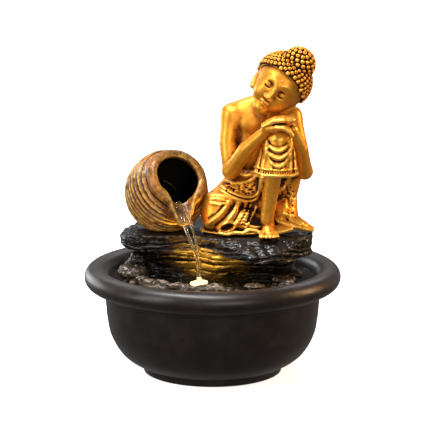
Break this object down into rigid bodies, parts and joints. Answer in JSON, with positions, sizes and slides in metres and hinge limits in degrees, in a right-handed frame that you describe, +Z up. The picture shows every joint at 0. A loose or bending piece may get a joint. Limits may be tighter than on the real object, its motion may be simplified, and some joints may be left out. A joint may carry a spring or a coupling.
{
  "type": "tabletop water fountain",
  "caption": "Round bowl with a rolled rim, lift-out rockwork with a seated figure and a pouring jar, and a small pump and lamp inside.",
  "frame": {"origin": "centre of the bowl's foot on the surface it stands on", "axes": "+Z up, -Y is the front that the jar pours towards, +X to the right seen from the front"},
  "size_m": [0.2098, 0.2098, 0.2689],
  "materials": {
    "bowl_plastic": "satin charcoal",
    "rock_resin": "wet glossy, grey dry-brushed edges",
    "gold_resin": "antique gold paint with dark wash",
    "jar_resin": "satin terracotta brown, gold rubbed on the ribs",
    "pump_plastic": "satin black",
    "rubber": "matt black",
    "foam": "matt foam",
    "ceramic_shaft": "polished white",
    "magnet": "moulded ferrite and plastic",
    "clear_plastic": "clear",
    "tube_plastic": "clear soft tube",
    "lamp_board": "white lamp board",
    "cable_sheath": "satin black"
  },
  "bodies": {
    "basin": {"bowl": "bowl_plastic", "foot_pad_1": "foam", "foot_pad_2": "foam", "foot_pad_3": "foam", "foot_pad_4": "foam", "cable_gland": "rubber", "gland_nut": "pump_plastic", "pump_housing": "pump_plastic", "rotor_shaft": "ceramic_shaft", "suction_cup_1": "rubber", "suction_cup_2": "rubber", "suction_cup_3": "rubber", "suction_cup_4": "rubber", "lamp_housing": "pump_plastic", "lamp_board": "lamp_board", "lamp_lens": "clear_plastic", "lamp_lead": "cable_sheath", "pump_lead": "cable_sheath"},
    "rockwork": {"rock_base": "rock_resin", "rock_ledge": "rock_resin", "stone_1": "rock_resin", "stone_2": "rock_resin", "stone_3": "rock_resin", "stone_4": "rock_resin", "stone_5": "rock_resin", "jar": "jar_resin", "riser_tube": "tube_plastic", "figure": "gold_resin"},
    "rotor": {"impeller": "magnet"},
    "dial": {"flow_dial": "pump_plastic"},
    "strainer": {"pump_cover": "pump_plastic"}
  },
  "joints": [
    {"name": "rockwork_lift", "type": "slide", "parent": "basin", "child": "rockwork", "axis": [0, 0, 1], "range_m": [0, 0.1]},
    {"name": "impeller_spin", "type": "hinge", "parent": "basin", "child": "rotor", "pos_m": [-0.01, -0.016, 0.036], "axis": [0, 1, 0], "continuous": true},
    {"name": "flow_turn", "type": "hinge", "parent": "basin", "child": "dial", "pos_m": [0.01, -0.016, 0.044], "axis": [1, 0, 0], "range_deg": [0, 90]},
    {"name": "strainer_pull", "type": "slide", "parent": "basin", "child": "strainer", "axis": [0, 1, 0], "range_m": [0, 0.012]}
  ]
}
